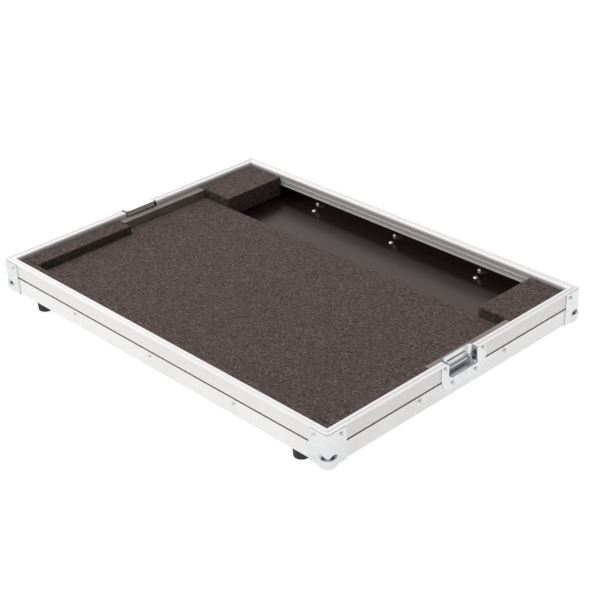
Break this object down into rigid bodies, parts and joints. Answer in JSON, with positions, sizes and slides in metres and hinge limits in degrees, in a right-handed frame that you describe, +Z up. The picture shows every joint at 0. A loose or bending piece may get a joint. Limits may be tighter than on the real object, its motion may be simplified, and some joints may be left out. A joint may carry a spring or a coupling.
{
  "type": "guitar pedal case tray",
  "caption": "Shallow base tray of a flight case for guitar pedals: aluminium edges, ball corners, latch recesses at both ends, foam padding and a cable channel.",
  "frame": {"origin": "centre of the tray on the ground plane under the rubber feet", "axes": "+X along the long side, +Y towards the cable channel at the back, +Z up"},
  "size_m": [0.6094, 0.4524, 0.0624],
  "materials": {
    "laminate": "smooth dark brown film on plywood",
    "black_panel": "black laminate on plywood",
    "aluminium_angle": "satin anodised extrusion",
    "aluminium_rim": "satin anodised extrusion with ribs",
    "zinc_steel": "zinc plated pressed steel",
    "dish_steel": "bright plated pressed steel",
    "batten": "grey painted batten",
    "foam": "charcoal open-cell foam",
    "foot_rubber": "black moulded rubber",
    "rivet": "blind rivet, dull silver",
    "screw": "zinc plated steel"
  },
  "bodies": {
    "root": {"ball_corner_back_left": "zinc_steel", "ball_corner_back_right": "zinc_steel", "ball_corner_front_left": "zinc_steel", "ball_corner_front_right": "zinc_steel", "ball_corner_rivets": "rivet", "base_panel": "laminate", "base_rivets": "rivet", "foam_back_left_block": "foam", "foam_back_right_block": "foam", "foam_front_strip": "foam", "foam_left_strip": "foam", "foam_main_pad": "foam", "foam_right_strip": "foam", "foot_back_left": "foot_rubber", "foot_back_right": "foot_rubber", "foot_front_left": "foot_rubber", "foot_front_right": "foot_rubber", "foot_screws": "screw", "foot_washers": "screw", "latch_batten_left": "batten", "latch_batten_right": "batten", "latch_dish_left": "dish_steel", "latch_dish_right": "dish_steel", "latch_keeper_left": "dish_steel", "latch_keeper_right": "dish_steel", "latch_rivets": "rivet", "lower_angle_back": "aluminium_angle", "lower_angle_front": "aluminium_angle", "lower_angle_left": "aluminium_angle", "lower_angle_right": "aluminium_angle", "rim_back": "aluminium_rim", "rim_front": "aluminium_rim", "rim_left_back": "aluminium_rim", "rim_left_front": "aluminium_rim", "rim_right_back": "aluminium_rim", "rim_right_front": "aluminium_rim", "wall_back": "black_panel", "wall_front": "black_panel", "wall_left": "black_panel", "wall_right": "black_panel", "wall_rivets": "rivet"}
  },
  "joints": []
}
